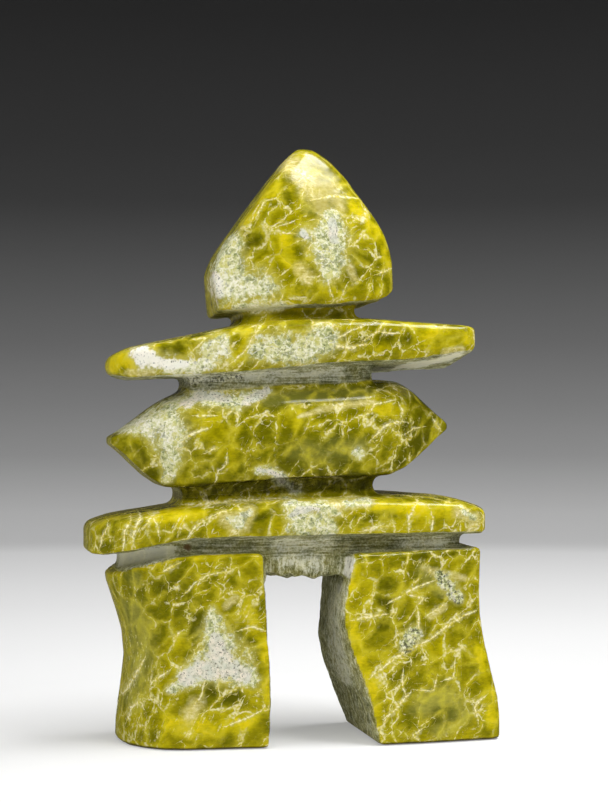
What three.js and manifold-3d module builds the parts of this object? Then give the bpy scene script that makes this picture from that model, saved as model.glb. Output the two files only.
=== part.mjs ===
// An inukshuk carved from one block of stone, in millimetres, +Z up, front towards -Y.
// Six "stones" (two legs, a hip slab, a body, an arm slab and a head) are left standing between four sawn
// grooves. A recessed core joins each stone to the next, so the finished work is a single solid.
import * as THREE from "three";
import { mergeVertices } from "three/addons/utils/BufferGeometryUtils.js";
import Module from "manifold-3d";

// Block
const DEPTH = 62; // front to back of the sawn block

// Stack, from the ground up
const LEG_HEIGHT = 77;
const HIP_GROOVE = 7; // clear height of the groove between the legs and the hip slab
const HIP_HEIGHT = 17;
const WAIST_GROOVE = 6.6;
const BODY_HEIGHT = 40.2;
const ARM_GROOVE = 6.2;
const ARM_HEIGHT = 19.4;
const NECK_GROOVE = 3.8;
const HEAD_HEIGHT = 65.6;

// Lengths across the front, and how far each stone's middle lies to the right of the block's middle
const HIP_LENGTH = 163;
const HIP_MIDDLE = -2.5;
const BODY_LENGTH = 140;
const BODY_MIDDLE = -5;
const ARM_LENGTH = 150.5;
const ARM_MIDDLE = -1.25;
const HEAD_LENGTH = 75.5;
const HEAD_MIDDLE = 2.95;

// Feet
const LEFT_FOOT_WIDTH = 57.6;
const LEFT_FOOT_IN = 12.8; // how far its outer edge stands in from the left end of the hip slab
const RIGHT_FOOT_WIDTH = 52.5;
const RIGHT_FOOT_OUT = 4.8; // how far its outer edge stands out past the right end of the hip slab

// Recessed cores. Their ends stand in from the ends of the stone named, left and right,
// and their faces stand back by a recess from the front and the back of the block.
const HIP_CORE_IN_LEFT = 14; // from the hip slab
const HIP_CORE_IN_RIGHT = 11;
const HIP_RECESS = 8;
const WAIST_CORE_IN_LEFT = 28; // from the body
const WAIST_CORE_IN_RIGHT = 33;
const WAIST_RECESS = 10;
const ARM_CORE_IN_LEFT = 31; // from the body
const ARM_CORE_IN_RIGHT = 33.7;
const ARM_RECESS = 10;
const NECK_CORE_IN_LEFT = 12.8; // from the head
const NECK_CORE_IN_RIGHT = 16.3;
const NECK_RECESS = 11;
const CORE_FILLET = 3; // hollow left by the round file where a core meets a stone
const CORE_OVERRUN = 0.8; // how far the hollow's curve would run on past the faces of the groove
const CORE_SINK = 3; // how far a core runs on inside the stones it joins
const SHOULDER_DROP = 1.8; // how far the worn shoulder of the body lies below its crown where its core rises
const BRIDGE_DROP = 8.2; // how far the hip core hangs below the tops of the legs, as the crotch

// Edge rounding
const LEG_EDGE = 1.5;
const HIP_EDGE = 3.4;
const BODY_EDGE = 3;
const ARM_EDGE = 3.6;
const HEAD_EDGE = 3.5;
const CORE_EDGE = 1.2;

// How far the corners between facets are worn round, as shares of what their profile runs along
const LEAN_WEAR = 0.12;
const LEG_SIDE_WEAR = 0.09;
const LEG_TOP_WEAR = 0.08;
const LEG_PLAN_WEAR = 0.08;

// Mesh density
const PROFILE_SAMPLES = 9; // places averaged round each point of a profile
const STONE_CROWDING = 1.55; // how much the grid steps crowd towards the round edges of a stone
const CORE_CROWDING = 1.1;

// Reads a profile of facets between [share, value] pairs, its corners worn round over wear to both sides.
function facets(points, wear) {
  const lineAt = (share) => {
    const s = THREE.MathUtils.clamp(share, 0, 1);
    let i = 1;
    while (i < points.length - 1 && s > points[i][0]) i++;
    const [[s0, v0], [s1, v1]] = [points[i - 1], points[i]];
    return v0 + ((v1 - v0) * (s - s0)) / (s1 - s0);
  };
  return (s) => {
    let sum = 0;
    for (let k = 0; k < PROFILE_SAMPLES; k++)
      sum += lineAt(s + wear * ((2 * k + 1) / PROFILE_SAMPLES - 1));
    return sum / PROFILE_SAMPLES;
  };
}

// Spreads evenly spaced steps from -1 to 1 so that they crowd towards both ends, where the edges are round.
const crowd = (t, power) => Math.sign(t) * (1 - (1 - Math.abs(t)) ** power);

// A closed box with round edges, centred on the origin, its surface a grid of the given steps.
function roundedBox(size, edge, steps, crowding) {
  const half = size.map((s) => s / 2);
  const geometry = new THREE.BoxGeometry(2, 2, 2, ...steps);
  const position = geometry.getAttribute("position");
  for (let i = 0; i < position.count; i++) {
    const outer = new THREE.Vector3().fromBufferAttribute(position, i);
    outer.set(...outer.toArray().map((t) => crowd(t, crowding)));
    outer.multiply(new THREE.Vector3(...half));
    const reach = new THREE.Vector3(...half).subScalar(edge);
    const inner = outer.clone().clamp(reach.clone().negate(), reach);
    const away = outer.sub(inner).normalize().multiplyScalar(edge);
    position.setXYZ(i, ...inner.add(away));
  }
  return geometry;
}

// Moves every vertex of a geometry by a function of its place.
function warp(geometry, move) {
  const position = geometry.getAttribute("position");
  for (let i = 0; i < position.count; i++) {
    const place = new THREE.Vector3().fromBufferAttribute(position, i);
    position.setXYZ(i, ...move(place));
  }
  return geometry;
}

// Splits each square of a box's grid along its shorter diagonal, so that triangles follow the stone's curves.
function splitShort(geometry) {
  const position = geometry.getAttribute("position");
  const at = (i) => new THREE.Vector3().fromBufferAttribute(position, i);
  const index = geometry.index.array;
  for (let i = 0; i < index.length; i += 6) {
    const [a, b, d, , c] = index.slice(i, i + 5);
    if (at(a).distanceTo(at(c)) < at(b).distanceTo(at(d))) index.set([a, b, c, a, c, d], i);
  }
  return geometry;
}

// Grinds a geometry flat against planes. Each plane passes through a point and faces outwards,
// and the edge that it leaves is worn round over the given distance.
function grind(geometry, planes) {
  return warp(geometry, (place) => {
    for (const { through, facing, worn } of planes) {
      const outward = new THREE.Vector3(...facing).normalize();
      const proud = outward.dot(place.clone().sub(new THREE.Vector3(...through)));
      place.addScaledVector(outward, -(proud + Math.hypot(proud, worn)) / 2);
    }
    return place;
  });
}

// How far a round corner of the plan stands back at the distance in from its end, for a corner
// that takes up so much of the length and so much of the depth.
function cornerBack(distance, [along, deep]) {
  const left = Math.max(0, along - Math.max(0, distance));
  return left === 0 ? 0 : deep * (1 - Math.sqrt(1 - (left / along) ** 2));
}

const mix = THREE.MathUtils.lerp;

// How far the front and the back of a plan stand back at its corners, at the place along from its left end.
function cornersBack(corners, along, length) {
  return {
    front: cornerBack(along, corners.frontLeft) + cornerBack(length - along, corners.frontRight),
    back: cornerBack(along, corners.backLeft) + cornerBack(length - along, corners.backRight),
  };
}

// The heights of a lying stone's top and underside, x along the block and y in from its front. Crown and
// belly round them off towards the front and the back, and sag lowers the underside towards the back.
function surfaces(stone) {
  const profiles = [stone.top, stone.bottom, stone.sag];
  const [top, bottom, sag] = profiles.map((points) => facets(points, stone.worn / stone.length));
  const share = (x) => (x - stone.left) / stone.length;
  const thick = (s) => stone.height * (top(s) - bottom(s));
  const offMiddle = (y) => Math.abs((2 * y) / DEPTH - 1) ** stone.roundness;
  return {
    top(x, y) {
      const s = share(x);
      return stone.seat + stone.height * top(s) - stone.crown * thick(s) * offMiddle(y);
    },
    bottom(x, y) {
      const s = share(x);
      const rise = stone.belly * thick(s) * offMiddle(y) - (sag(s) * y) / DEPTH;
      return stone.seat + stone.height * bottom(s) + rise;
    },
  };
}

// A stone that lies across the block. Its outline from the front is top and bottom, its plan is front and
// back, and lean sets both faces in as they rise.
function lyingStone(stone) {
  const { top, bottom } = surfaces(stone);
  const plans = [stone.front, stone.back];
  const [front, back] = plans.map((points) => facets(points, stone.planWorn / stone.length));
  const lean = facets(stone.lean, LEAN_WEAR);
  const block = roundedBox([stone.length, DEPTH, stone.height], stone.edge, stone.steps, STONE_CROWDING);
  const shaped = warp(block, ({ x, y, z }) => {
    const along = x + stone.length / 2;
    const share = along / stone.length;
    const behind = y / DEPTH + 0.5;
    const place = stone.left + along;
    const height = mix(bottom(place, behind * DEPTH), top(place, behind * DEPTH), z / stone.height + 0.5);
    const inset = lean((height - stone.seat) / stone.height);
    const corner = cornersBack(stone.corners, along, stone.length);
    const near = DEPTH * front(share) + inset + corner.front;
    const far = DEPTH * (1 - back(share)) - inset - corner.back;
    return [place, mix(near, far, behind), height];
  });
  const planes = stone.planes.map(({ through: [x, y, z], facing, worn }) => ({
    through: [stone.left + x * stone.length, y * DEPTH, stone.seat + z * stone.height],
    facing,
    worn,
  }));
  return grind(shaped, planes);
}

// The height of a leg's top at a share of its width.
const legTop = ({ top }, share) => LEG_HEIGHT * facets(top, LEG_TOP_WEAR)(share);

// A leg. Its sides are [up, front edge, back edge]: a share of its height, then two shares of its foot's
// width.
function leg({ left, width, leftSide, rightSide, top, front, corners, steps }) {
  const edge = (side, column) => facets(side.map((row) => [row[0], row[column]]), LEG_SIDE_WEAR);
  const [leftNear, leftFar] = [edge(leftSide, 1), edge(leftSide, 2)];
  const [rightNear, rightFar] = [edge(rightSide, 1), edge(rightSide, 2)];
  const plan = facets(front, LEG_PLAN_WEAR);
  const block = roundedBox([width, DEPTH, LEG_HEIGHT], LEG_EDGE, steps, STONE_CROWDING);
  return warp(block, ({ x, y, z }) => {
    const across = x / width + 0.5;
    const up = z / LEG_HEIGHT + 0.5;
    const behind = y / DEPTH + 0.5;
    const leftEdge = mix(leftNear(up), leftFar(up), behind);
    const rightEdge = mix(rightNear(up), rightFar(up), behind);
    const corner = cornersBack(corners, width * across, width);
    const near = DEPTH * plan(across) + corner.front;
    return [
      left + width * mix(leftEdge, rightEdge, across),
      mix(near, DEPTH - corner.back, behind),
      up * legTop({ top }, across),
    ];
  });
}

// A recessed core between the surface below and the surface above it, hollowed at mid-height like a filed
// groove. Its ends stand in from those of a stone, and it runs on inside both stones that it joins, from its
// foot up to CORE_SINK above the groove.
function core({ stone, inLeft, inRight, recess, below, above, foot, corners, steps }) {
  const length = stone.length - inLeft - inRight;
  const middle = [stone.left + inLeft + length / 2, DEPTH / 2];
  const tall = above(...middle) - foot(...middle) + CORE_SINK;
  const deep = DEPTH - 2 * recess;
  const block = roundedBox([length, deep, tall], CORE_EDGE, steps, CORE_CROWDING);
  return warp(block, ({ x, y, z }) => {
    const place = middle[0] + x;
    const corner = cornersBack(corners, x + length / 2, length);
    const inward = mix(recess + corner.front, DEPTH - recess - corner.back, y / deep + 0.5);
    const [floor, ceiling] = [below(place, inward), above(place, inward)];
    const height = mix(foot(place, inward), ceiling + CORE_SINK, z / tall + 0.5);
    const reach = Math.max(0, ceiling - floor) / 2 + CORE_OVERRUN;
    const offMiddle = Math.min(1, Math.abs(height - (floor + ceiling) / 2) / reach);
    const flare = CORE_FILLET * (1 - Math.sqrt(1 - offMiddle ** 2));
    return [place + (2 * flare * x) / length, inward + flare * ((2 * inward) / DEPTH - 1), height];
  });
}

// Seats, each one the height at which a stone meets the groove below it
const HIP_SEAT = LEG_HEIGHT + HIP_GROOVE;
const BODY_SEAT = HIP_SEAT + HIP_HEIGHT + WAIST_GROOVE;
const ARM_SEAT = BODY_SEAT + BODY_HEIGHT + ARM_GROOVE;
const HEAD_SEAT = ARM_SEAT + ARM_HEIGHT + NECK_GROOVE;

// Outlines, top and bottom: each pair is a share of the stone's length, then of its height above its seat.
// Plans, front and back: a share of the length, then how far the face stands back as a share of the depth.
// Corners round off the plan, each one so much of the length and so much of the depth, in millimetres.
const SQUARE = [0, 0];
const hips = {
  left: HIP_MIDDLE - HIP_LENGTH / 2,
  length: HIP_LENGTH,
  seat: HIP_SEAT,
  height: HIP_HEIGHT,
  edge: HIP_EDGE,
  worn: 7,
  planWorn: 9,
  top: [
    [0, 0.3], [0.04, 0.5], [0.12, 0.62], [0.2, 0.735], [0.3, 0.89], [0.5, 1.03], [0.7, 1.035], [0.8, 1],
    [0.93, 0.9], [1, 0.66],
  ],
  bottom: [[0, -0.44], [0.05, -0.38], [0.24, -0.03], [0.5, 0], [1, 0.03]],
  front: [[0, 0.05], [0.3, 0.01], [0.6, -0.01], [0.85, 0.02], [1, 0.06]],
  back: [[0, 0.04], [0.5, 0], [1, 0.04]],
  corners: { frontLeft: [20, 26], frontRight: [10, 9], backLeft: [14, 13], backRight: [12, 12] },
  lean: [[0, 0], [1, 0]],
  sag: [[0, 0], [1, 0]],
  crown: 0.18,
  belly: 0.03,
  roundness: 3,
  planes: [],
  steps: [22, 7, 4],
};
const body = {
  left: BODY_MIDDLE - BODY_LENGTH / 2,
  length: BODY_LENGTH,
  seat: BODY_SEAT,
  height: BODY_HEIGHT,
  edge: BODY_EDGE,
  worn: 5,
  planWorn: 8,
  top: [[0, 0.4], [0.155, 0.81], [0.23, 0.9], [0.77, 1.01], [0.87, 0.99], [1, 0.545]],
  bottom: [[0, 0.37], [0.14, -0.105], [0.5, 0], [0.81, 0.01], [0.89, 0.17], [1, 0.505]],
  front: [[0, 0.34], [0.2, 0.05], [0.5, 0.01], [0.8, 0.05], [1, 0.33]],
  back: [[0, 0.32], [0.2, 0.05], [0.5, 0.01], [0.8, 0.06], [1, 0.34]],
  corners: { frontLeft: SQUARE, frontRight: SQUARE, backLeft: SQUARE, backRight: SQUARE },
  lean: [[0, 2], [0.25, 0], [0.6, 0], [0.85, 2], [1, 5]],
  sag: [[0, 0], [1, 0]],
  crown: 0.16,
  belly: 0.015,
  roundness: 3.4,
  planes: [],
  steps: [22, 8, 8],
};
const arms = {
  left: ARM_MIDDLE - ARM_LENGTH / 2,
  length: ARM_LENGTH,
  seat: ARM_SEAT,
  height: ARM_HEIGHT,
  edge: ARM_EDGE,
  worn: 6,
  planWorn: 9,
  top: [[0, 0.1], [0.05, 0.34], [0.234, 0.64], [0.33, 0.8], [0.45, 0.98], [0.67, 1.01], [1, 0.84]],
  bottom: [[0, -0.2], [0.04, -0.335], [0.33, -0.24], [0.6, -0.03], [0.78, 0.03], [0.89, 0.155], [1, 0.31]],
  front: [[0, 0.08], [0.3, 0.02], [0.6, 0], [1, 0.05]],
  back: [[0, 0.08], [0.3, 0.02], [0.7, 0], [1, 0.06]],
  corners: { frontLeft: [18, 22], frontRight: [7, 6], backLeft: [18, 20], backRight: [10, 10] },
  lean: [[0, 0], [1, 0]],
  sag: [[0, 0], [0.6, 0], [0.78, 4.5], [0.9, 5.2], [1, 8]],
  crown: 0.1,
  belly: 0.03,
  roundness: 3,
  planes: [],
  steps: [22, 7, 4],
};
const head = {
  left: HEAD_MIDDLE - HEAD_LENGTH / 2,
  length: HEAD_LENGTH,
  seat: HEAD_SEAT,
  height: HEAD_HEIGHT,
  edge: HEAD_EDGE,
  worn: 3,
  planWorn: 6,
  top: [[0, 0.18], [0.03, 0.3], [0.43, 0.97], [0.5, 1.05], [0.6, 1.04], [0.73, 0.9], [0.97, 0.43], [1, 0.26]],
  bottom: [[0, -0.03], [0.36, 0], [0.67, 0.015], [0.93, 0.055], [1, 0.12]],
  front: [[0, 0.24], [0.42, 0.02], [0.82, 0.04], [1, 0.16]],
  back: [[0, 0.16], [0.3, 0.04], [0.8, 0.04], [1, 0.16]],
  corners: { frontLeft: SQUARE, frontRight: [6, 6], backLeft: [8, 8], backRight: [6, 6] },
  lean: [[0, 0], [0.45, 2], [0.72, 5], [1, 10]],
  sag: [[0, 2], [1, 2]],
  crown: 0.03,
  belly: 0,
  roundness: 2.5,
  planes: [
    { through: [0, 0.5, 0.2], facing: [-1, 0, -0.19], worn: 1.5 },
    { through: [0.6, 0.12, 0.7], facing: [0.24, -0.74, 0.6], worn: 4.5 },
    { through: [0.5, 0.82, 0.76], facing: [-0.1, 0.75, 0.66], worn: 6 },
  ],
  steps: [16, 10, 10],
};

const leftLeg = {
  left: hips.left + LEFT_FOOT_IN,
  width: LEFT_FOOT_WIDTH,
  leftSide: [
    [0, 0, 0], [0.12, 0, 0], [0.34, 0.05, 0.04], [0.5, 0.07, 0.07], [0.68, 0.04, 0.04], [1, -0.09, -0.09],
  ],
  rightSide: [[0, 1, 1], [0.28, 1.02, 1.02], [0.57, 0.99, 0.99], [1, 0.96, 0.96]],
  top: [[0, 0.885], [0.08, 0.92], [0.2, 0.96], [0.36, 0.995], [0.5, 1.01], [1, 1.015]],
  front: [[0, 0.06], [0.35, 0.05], [1, 0.02]],
  corners: { frontLeft: [24, 34], frontRight: [1, 1], backLeft: [20, 20], backRight: [4, 4] },
  steps: [9, 8, 10],
};
const rightLeg = {
  left: hips.left + hips.length + RIGHT_FOOT_OUT - RIGHT_FOOT_WIDTH,
  width: RIGHT_FOOT_WIDTH,
  leftSide: [
    [0, 0, 0], [0.05, -0.03, -0.04], [0.27, -0.1, -0.17], [0.46, -0.21, -0.27], [0.643, -0.325, -0.24],
    [0.9, -0.25, -0.21], [1, -0.21, -0.2],
  ],
  rightSide: [
    [0, 1, 1], [0.13, 1.005, 1], [0.24, 0.985, 0.98], [0.4, 0.91, 0.92], [0.58, 0.85, 0.86],
    [0.76, 0.83, 0.85], [1, 0.846, 0.86],
  ],
  top: [[0, 1.005], [1, 1.028]],
  front: [[0, -0.02], [0.4, 0], [1, 0.07]],
  corners: { frontLeft: SQUARE, frontRight: [3, 3], backLeft: [3, 3], backRight: [8, 8] },
  steps: [8, 8, 10],
};

const [hipFaces, bodyFaces, armFaces, headFaces] = [hips, body, arms, head].map(surfaces);
const sunkInto = (surface) => (x, y) => surface(x, y) - CORE_SINK;
const shoulder = (x, y) => bodyFaces.top(x, y) - SHOULDER_DROP;
const softCorners = { frontLeft: [6, 6], frontRight: [5, 5], backLeft: [6, 6], backRight: [6, 6] };
const cores = [
  {
    stone: hips,
    inLeft: HIP_CORE_IN_LEFT,
    inRight: HIP_CORE_IN_RIGHT,
    recess: HIP_RECESS,
    below: (x) => legTop(leftLeg, (x - leftLeg.left) / leftLeg.width),
    above: hipFaces.bottom,
    foot: () => LEG_HEIGHT - BRIDGE_DROP,
    corners: { ...softCorners, frontLeft: [23, 28] },
    steps: [12, 4, 8],
  },
  {
    stone: body,
    inLeft: WAIST_CORE_IN_LEFT,
    inRight: WAIST_CORE_IN_RIGHT,
    recess: WAIST_RECESS,
    below: hipFaces.top,
    above: bodyFaces.bottom,
    foot: sunkInto(hipFaces.top),
    corners: softCorners,
    steps: [8, 4, 7],
  },
  {
    stone: body,
    inLeft: ARM_CORE_IN_LEFT,
    inRight: ARM_CORE_IN_RIGHT,
    recess: ARM_RECESS,
    below: shoulder,
    above: armFaces.bottom,
    foot: sunkInto(shoulder),
    corners: softCorners,
    steps: [8, 4, 7],
  },
  {
    stone: head,
    inLeft: NECK_CORE_IN_LEFT,
    inRight: NECK_CORE_IN_RIGHT,
    recess: NECK_RECESS,
    below: armFaces.top,
    above: headFaces.bottom,
    foot: sunkInto(armFaces.top),
    corners: { ...softCorners, frontLeft: [10, 7] },
    steps: [8, 4, 7],
  },
];

const wasm = await Module();
wasm.setup();

// A closed geometry as a solid that can be joined to others.
function solidOf(geometry) {
  geometry.deleteAttribute("normal");
  geometry.deleteAttribute("uv");
  const merged = mergeVertices(geometry, 1e-4);
  return new wasm.Manifold(
    new wasm.Mesh({
      numProp: 3,
      vertProperties: merged.getAttribute("position").array,
      triVerts: new Uint32Array(merged.index.array),
    }),
  );
}

// A joined solid as a geometry that can be shown.
function geometryOf(solid) {
  const { vertProperties, triVerts } = solid.getMesh();
  const geometry = new THREE.BufferGeometry();
  geometry.setAttribute("position", new THREE.BufferAttribute(vertProperties, 3));
  geometry.setIndex(new THREE.BufferAttribute(triVerts, 1));
  return geometry;
}

const carved = [leg(leftLeg), leg(rightLeg), ...[hips, body, arms, head].map(lyingStone), ...cores.map(core)];
const solids = carved.map((form) => solidOf(splitShort(form)));
const geometry = geometryOf(solids.reduce((whole, next) => whole.add(next)));
geometry.computeVertexNormals();

const serpentine = new THREE.MeshStandardMaterial({
  color: new THREE.Color(0.36, 0.37, 0.04),
  roughness: 0.3,
  metalness: 0,
});
const inukshuk = new THREE.Mesh(geometry, serpentine);
inukshuk.name = "inukshuk";

// The origin is on the ground, under the middle of the whole outline
const bounds = new THREE.Box3().setFromObject(inukshuk);
const middle = bounds.getCenter(new THREE.Vector3());
inukshuk.position.set(-middle.x, -middle.y, -bounds.min.z);

const sculpture = new THREE.Group();
sculpture.add(inukshuk);
export default sculpture;
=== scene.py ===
"""A polished serpentine inukshuk in a plain pale studio. Metres, +Z up, front towards -Y.

The carving is one mesh: a fine copy of the frame's solid, smoothed over its facets, then worked with the
marks of the saw, the rasp and the polish. Patches, colours and veins are placed by where they show in the
photograph's frame, 608 by 802 pixels, and they run on into the depth of the stone.
"""

import math

import bpy
import numpy as np
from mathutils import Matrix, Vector, noise
from mathutils.bvhtree import BVHTree


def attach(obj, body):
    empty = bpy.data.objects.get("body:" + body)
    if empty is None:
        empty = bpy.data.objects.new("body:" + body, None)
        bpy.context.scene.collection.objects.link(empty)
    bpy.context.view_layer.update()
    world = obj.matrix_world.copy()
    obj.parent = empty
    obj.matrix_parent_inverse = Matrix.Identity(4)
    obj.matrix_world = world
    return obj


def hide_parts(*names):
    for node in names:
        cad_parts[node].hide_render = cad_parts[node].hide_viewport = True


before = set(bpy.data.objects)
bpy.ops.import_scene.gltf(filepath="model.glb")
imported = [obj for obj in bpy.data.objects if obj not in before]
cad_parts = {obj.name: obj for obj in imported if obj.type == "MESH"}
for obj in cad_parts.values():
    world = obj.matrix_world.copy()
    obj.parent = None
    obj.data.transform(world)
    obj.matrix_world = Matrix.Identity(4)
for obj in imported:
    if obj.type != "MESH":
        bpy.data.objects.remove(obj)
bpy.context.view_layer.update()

MM = 0.001

# Camera, as worked out from the photograph
FRAME_WIDTH, FRAME_HEIGHT = 608, 802
FOCAL_PIXELS = 2000.0
SENSOR = 36.0
EYE = Vector((-0.15945, -0.81435, 0.139))
HEADING = math.radians(11.5)  # the camera stands to the left and looks this far to the right of +Y
PIXEL = 0.4 * MM  # what one pixel of the photograph spans on the stone

# Fine mesh
VOXEL = 1.18 * MM
SMOOTHING_ROUNDS = 16
SMOOTHING_STEPS = (0.5, -0.52)  # each round shrinks the mesh and swells it again
SHARP = 0.12  # how much normals turn from one vertex to the next where an edge is left crisp

# Edges that long polishing wore down, each pair from where the wear starts to where it is full
WEAR_ROUNDS = 26
HEAD_WEAR = 0.6
WORN_HEAD = (186 * MM, 200 * MM)
WORN_SHOULDER_FOOT = (128 * MM, 136 * MM)
WORN_SHOULDER_TOP = (147.5 * MM, 144 * MM)
WORN_TIP = (-66 * MM, -74 * MM)
WORN_TIP_FOOT = (147 * MM, 149 * MM)
WORN_TIP_TOP = (170 * MM, 168 * MM)

# Grooves from the lowest up, each reaching up to its height, and above them the neck
GROOVE_TOPS = (90 * MM, 120 * MM, 165 * MM)
GROOVE_RAWNESS = (1.0, 0.12, 0.8)
# How dark the grooves and the neck are painted: painted shade, for the shade that falls in them
GROOVE_SHADE = (0.05, 0.9, 0.05)
NECK_RAWNESS, NECK_SHADE = 0.1, 0.1
GROOVE_GAP = (9 * MM, 14 * MM)  # from a full groove to the open
SIGHT = 16 * MM  # how far up and down stone is looked for
RIM_DEPTH = (24.5 * MM, 26.5 * MM)
RIM_WIDTH = (70 * MM, 73 * MM)
POLISHED_TOPS = 85 * MM  # above this the upper faces inside the grooves are polished
UNDERSIDES = ((72 * MM, 90 * MM), (146 * MM, 166 * MM), (172 * MM, 190 * MM))
LEG_GAP = (-16 * MM, 33 * MM)
LEG_GAP_TOP = 78 * MM
BRIDGE_WIDTH = (-16 * MM, 21 * MM)
BRIDGE_HEIGHT = (66 * MM, 80 * MM)
BRIDGE_FRONT = -27 * MM
BRIDGE_FOOT = (77 * MM, 71 * MM)  # from whole stone to the broken lower edge
SOLES = 4 * MM

# Heights of the relief
POLISH_WAVES, POLISH_RIPPLES = 0.16 * MM, 0.05 * MM
CHISEL_MARKS = 0.35 * MM
BROKEN_EDGE = 2.2 * MM

# How far patches and veins run into the depth of the stone, and how far a vein reaches beside itself
PATCH_RUN = 18 * MM
VEIN_RUN = (8 * MM, 20 * MM)
VEIN_REACH = 3.2 * MM
VEIN_GROUPS = 4

# Patches of the stone, each a chain of pixels with its half width in pixels there. Pale granular stone:
PALE = {
    "head_left": ((234, 238, 8), (226, 262, 18), (222, 284, 19), (262, 286, 15)),
    "head_middle": ((331, 216, 9), (328, 236, 22), (330, 258, 17), (330, 274, 10)),
    "head_spot": ((303, 233, 5), (306, 236, 5)),
    "arm_white": ((143, 355, 12), (158, 362, 9), (178, 366, 9), (196, 366, 9)),
    "arm_left": ((204, 362, 12), (216, 350, 14), (220, 342, 9)),
    "arm_middle": ((262, 348, 13), (280, 346, 14), (306, 352, 15), (322, 340, 15)),
    "shoulder": (
        (118, 430, 6), (132, 426, 13), (148, 420, 20), (166, 422, 20), (172, 452, 13), (168, 478, 6),
    ),
    "shoulder_top": ((168, 404, 8), (196, 397, 8), (236, 402, 9), (268, 390, 5)),
    "body_streak": ((258, 470, 4), (272, 472, 6), (284, 482, 6), (296, 490, 7)),
    "body_spot": ((358, 452, 6), (360, 454, 6)),
    "hips_middle": ((292, 506, 9), (300, 522, 13), (322, 524, 15), (330, 534, 7)),
    "hips_top": ((296, 507, 6), (326, 508, 7), (340, 514, 4)),
    "hips_cloud": ((228, 518, 3), (238, 523, 7), (250, 512, 4)),
    "hips_right_cloud": ((346, 505, 5), (360, 503, 5), (370, 502, 4)),
    "neck": ((236, 308, 5), (260, 307, 6), (284, 306, 4)),
    "hips_end": ((464, 512, 3), (474, 518, 4)),
    "leg_peak": ((213, 610, 5), (214, 630, 13), (220, 650, 19)),
    "leg_white": ((194, 672, 12), (216, 662, 19), (240, 670, 17), (252, 681, 7)),
    "leg_tail": ((170, 690, 5), (190, 678, 9), (204, 672, 12)),
    "gash": ((438, 574, 6), (450, 586, 9), (458, 598, 6)),
    "pit": ((404, 646, 6), (414, 634, 8)),
    "chip": ((349, 560, 4), (347, 574, 4)),
}
# Where the pale and the rough stone are white
WHITE = {
    "head_left": ((212, 276, 6), (216, 296, 8)),
    "head_middle": ((332, 222, 5), (334, 240, 6)),
    "head_spot": ((303, 233, 4), (306, 236, 4)),
    "arm": ((142, 355, 13), (158, 362, 8), (186, 364, 4)),
    "shoulder_top": ((184, 406, 5), (204, 394, 6), (226, 398, 7)),
    "shoulder_streak": ((246, 405, 6), (258, 397, 6), (270, 388, 4)),
    "body_streak": ((258, 470, 2), (272, 472, 3), (284, 482, 3)),
    "hips_middle": ((290, 516, 2), (300, 510, 4), (318, 510, 4)),
    "leg": ((184, 680, 7), (204, 668, 13), (230, 666, 15), (246, 678, 7)),
    "leg_peak": ((216, 636, 5), (218, 654, 14)),
    # Partly white worked stone, partly painted light from below on the arms' underside
    "arm_underside_lit": ((402, 366, 4), (424, 364, 7), (452, 357, 7)),
    "gash": ((450, 590, 1.5), (455, 601, 2)),
    "chip": ((349, 560, 4), (347, 574, 4)),
}
# Smooth cream clouds, some of them painted highlights where marked
CREAM = {
    # Partly pale cream stone, partly a painted highlight on the head's upper facet
    "head_top": ((290, 164, 14), (302, 174, 17), (316, 190, 18), (322, 206, 12)),
    "head_facet": ((330, 190, 13), (340, 206, 8)),
    "head_low": ((300, 268, 8), (308, 276, 9)),
    "head_right": ((350, 268, 5), (354, 278, 5)),
    # A painted highlight: the gleam along the body's rounded top
    "body_top_highlight": ((298, 417, 2), (320, 410, 4), (346, 405, 4), (374, 402, 3)),
    "hips_left": ((224, 518, 9), (238, 524, 14), (250, 512, 8)),
    "hips_middle": ((330, 506, 8), (352, 505, 7), (372, 502, 4)),
    "hips_end": ((458, 512, 7), (476, 520, 8), (470, 530, 6)),
    "leg_left_top": ((236, 598, 4), (226, 606, 5)),
    "leg_left_foot": ((198, 704, 10), (190, 714, 10)),
    "leg_right_top": ((424, 568, 4), (440, 574, 5), (464, 578, 4)),
    "leg_right_middle": ((430, 618, 4), (446, 606, 3)),
    "arm_left": ((128, 372, 4), (152, 374, 5)),
    "arm_end": ((462, 350, 5), (444, 352, 4)),
}
# Where the plain stone is yellower, greyer and darker, and where marked, painted shade and painted
# reflections
YELLOW = {
    "arm_tip": ((112, 364, 14), (126, 352, 9), (132, 374, 6)),
    "arm_ball": ((174, 367, 6), (176, 368, 6)),
    "arm_wedge": ((232, 362, 5), (246, 350, 9), (246, 332, 9)),
    "arm_end": ((432, 340, 14), (462, 338, 14)),
    "head_spots": ((286, 238, 8), (288, 258, 9), (300, 270, 10)),
    "head_right": ((352, 206, 8), (376, 232, 9), (388, 262, 7)),
    "head_edge": ((276, 186, 9), (262, 204, 9), (246, 222, 6)),
    "head_foot": ((290, 291, 8), (330, 290, 9), (362, 290, 8)),
    "body_left": ((196, 420, 14), (222, 436, 20), (232, 462, 12)),
    "body_middle": ((296, 428, 6), (300, 416, 6)),
    "body_right": ((378, 408, 12), (400, 412, 10)),
    "leg_left_edge": ((250, 612, 10), (262, 640, 8), (266, 700, 5)),
    "leg_cell": ((182, 642, 9), (184, 646, 9)),
    "rosette": ((188, 712, 8), (192, 710, 8)),
    "leg_left_foot": ((168, 724, 14), (214, 730, 12), (252, 722, 8)),
    "leg_right_strip": ((352, 624, 9), (358, 656, 10), (372, 684, 8), (378, 712, 7)),
    "leg_right_edge": ((478, 650, 7), (488, 690, 9), (492, 724, 8)),
    "leg_right_top": ((352, 584, 8), (356, 570, 6)),
    "hips_left": ((150, 516, 8), (166, 518, 10), (200, 514, 9)),
    "hips_right": ((378, 508, 6), (448, 512, 9)),
}
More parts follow.
